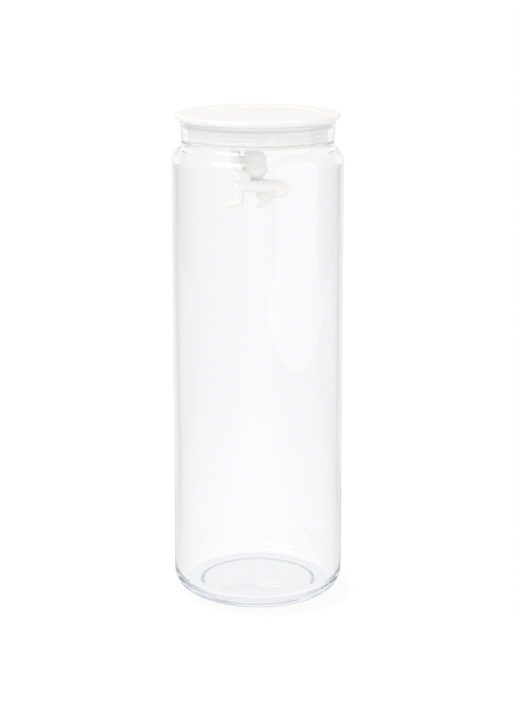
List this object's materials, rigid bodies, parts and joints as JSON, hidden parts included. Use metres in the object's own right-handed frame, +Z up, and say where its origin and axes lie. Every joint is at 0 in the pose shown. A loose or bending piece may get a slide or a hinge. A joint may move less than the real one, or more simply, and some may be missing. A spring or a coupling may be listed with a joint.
{
  "type": "lidded glass canister",
  "caption": "Tall round glass canister with a rounded shoulder and wide neck, closed by a white plastic lid with a sealed plug; a plain figure hangs inside under the lid.",
  "frame": {"origin": "centre of the foot ring, on the surface the jar stands on", "axes": "+Z up along the jar's axis; the hanging figure faces -X, with its nearer side towards -Y"},
  "size_m": [0.105, 0.105, 0.301],
  "materials": {
    "clear_glass": "clear soda-lime glass, polished",
    "lid_plastic": "opaque white moulded plastic, semi-gloss",
    "seal_rubber": "milky translucent silicone rubber",
    "figure_plastic": "opaque white moulded plastic, satin"
  },
  "bodies": {
    "jar": {"glass_jar": "clear_glass"},
    "seal": {"lid_seal": "seal_rubber"},
    "lid": {"lid_cover": "lid_plastic", "lid_plug": "lid_plastic", "hanging_figure": "figure_plastic"}
  },
  "joints": [
    {"name": "lid_lift", "type": "slide", "parent": "jar", "child": "seal", "axis": [0, 0, 1], "range_m": [0, 0.085]},
    {"name": "lid_turn", "type": "hinge", "parent": "seal", "child": "lid", "pos_m": [0, 0, 0.28975], "axis": [0, 0, 1], "continuous": true}
  ]
}
